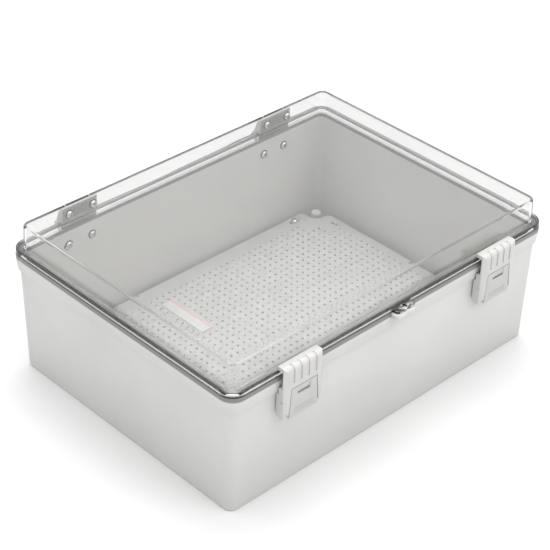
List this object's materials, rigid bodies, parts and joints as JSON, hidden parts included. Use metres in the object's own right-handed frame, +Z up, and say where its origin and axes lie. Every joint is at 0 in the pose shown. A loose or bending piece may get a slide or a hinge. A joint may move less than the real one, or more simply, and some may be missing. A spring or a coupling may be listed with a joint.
{
  "type": "hinged clear-cover enclosure",
  "caption": "Shallow grey moulded electrical enclosure with a hinged transparent domed lid, draw latches, padlock hasp and an inner perforated mounting plate.",
  "frame": {"origin": "centre of the box's underside", "axes": "+X along the latch and hinge sides, -Y towards the latches, +Y towards the hinges, +Z up out of the lid"},
  "size_m": [0.4, 0.3113, 0.156],
  "materials": {
    "box": "fine moulded texture, light grey",
    "clear_cover": "polished clear polycarbonate",
    "gasket": "foamed polyurethane, dark",
    "plate": "light grey, satin",
    "marking_strip": "smooth pale strip",
    "insert": "turned",
    "plug": "smooth",
    "steel": "bright zinc",
    "hinge": "grey moulded nylon",
    "latch": "pale grey moulded nylon"
  },
  "bodies": {
    "box": {"box_shell": "box", "lid_gasket": "gasket", "mounting_plate": "plate", "marking_strip": "marking_strip", "plate_screw_1": "steel", "plate_insert_1": "insert", "mount_plug_1": "plug", "plate_screw_2": "steel", "plate_insert_2": "insert", "mount_plug_2": "plug", "plate_screw_3": "steel", "plate_insert_3": "insert", "mount_plug_3": "plug", "plate_screw_4": "steel", "plate_insert_4": "insert", "mount_plug_4": "plug", "hinge_left_box_leaf": "hinge", "hinge_left_box_screw_1": "steel", "hinge_left_box_screw_2": "steel", "latch_left_bracket": "latch", "latch_left_lever_pin": "steel", "latch_left_screw_1": "steel", "latch_left_screw_2": "steel", "hinge_right_box_leaf": "hinge", "hinge_right_box_screw_1": "steel", "hinge_right_box_screw_2": "steel", "latch_right_bracket": "latch", "latch_right_lever_pin": "steel", "latch_right_screw_1": "steel", "latch_right_screw_2": "steel"},
    "lid": {"lid_cover": "clear_cover", "hinge_left_lid_leaf": "hinge", "hinge_left_pin": "steel", "hinge_left_lid_screw_1": "steel", "hinge_left_lid_screw_2": "steel", "hinge_right_lid_leaf": "hinge", "hinge_right_pin": "steel", "hinge_right_lid_screw_1": "steel", "hinge_right_lid_screw_2": "steel"},
    "left_lever": {"latch_left_lever": "latch", "latch_left_hook_pin": "steel"},
    "left_hook": {"latch_left_hook": "latch"},
    "right_lever": {"latch_right_lever": "latch", "latch_right_hook_pin": "steel"},
    "right_hook": {"latch_right_hook": "latch"}
  },
  "joints": [
    {"name": "lid_hinge", "type": "hinge", "parent": "box", "child": "lid", "pos_m": [0, 0.151, 0.1295], "axis": [-1, 0, 0], "range_deg": [0, 110]},
    {"name": "left_lever_swing", "type": "hinge", "parent": "box", "child": "left_lever", "pos_m": [-0.1245, -0.1507, 0.1129], "axis": [-1, 0, 0], "range_deg": [0, 85]},
    {"name": "left_hook_swing", "type": "hinge", "parent": "left_lever", "child": "left_hook", "pos_m": [-0.1245, -0.1522, 0.1019], "axis": [-1, 0, 0], "range_deg": [-107, 0]},
    {"name": "right_lever_swing", "type": "hinge", "parent": "box", "child": "right_lever", "pos_m": [0.1245, -0.1507, 0.1129], "axis": [-1, 0, 0], "range_deg": [0, 85]},
    {"name": "right_hook_swing", "type": "hinge", "parent": "right_lever", "child": "right_hook", "pos_m": [0.1245, -0.1522, 0.1019], "axis": [-1, 0, 0], "range_deg": [-107, 0]}
  ],
  "couplings": [
    {"joint": "left_hook_swing", "follows": "left_lever_swing", "ratio": -1.25},
    {"joint": "right_hook_swing", "follows": "right_lever_swing", "ratio": -1.25}
  ]
}
